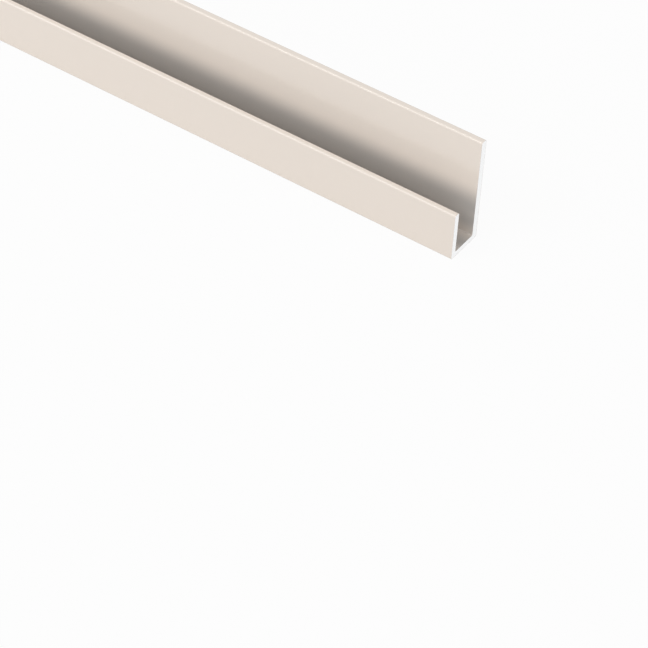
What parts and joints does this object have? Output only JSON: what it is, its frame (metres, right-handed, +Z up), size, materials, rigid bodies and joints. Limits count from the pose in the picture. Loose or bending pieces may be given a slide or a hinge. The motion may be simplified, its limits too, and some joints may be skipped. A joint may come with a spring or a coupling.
{
  "type": "picture rail",
  "caption": "J-section aluminium picture rail in cream powder coat, with a tall back wall, an open-topped channel and a short front lip.",
  "frame": {"origin": "middle of the rail's underside", "axes": "+X along the length, +Y out of the back face that goes against the room's wall, +Z up"},
  "size_m": [1, 0.0104, 0.028],
  "materials": {
    "cream_coat": "smooth semi-gloss powder coat"
  },
  "bodies": {
    "root": {"rail": "cream_coat"}
  },
  "joints": []
}
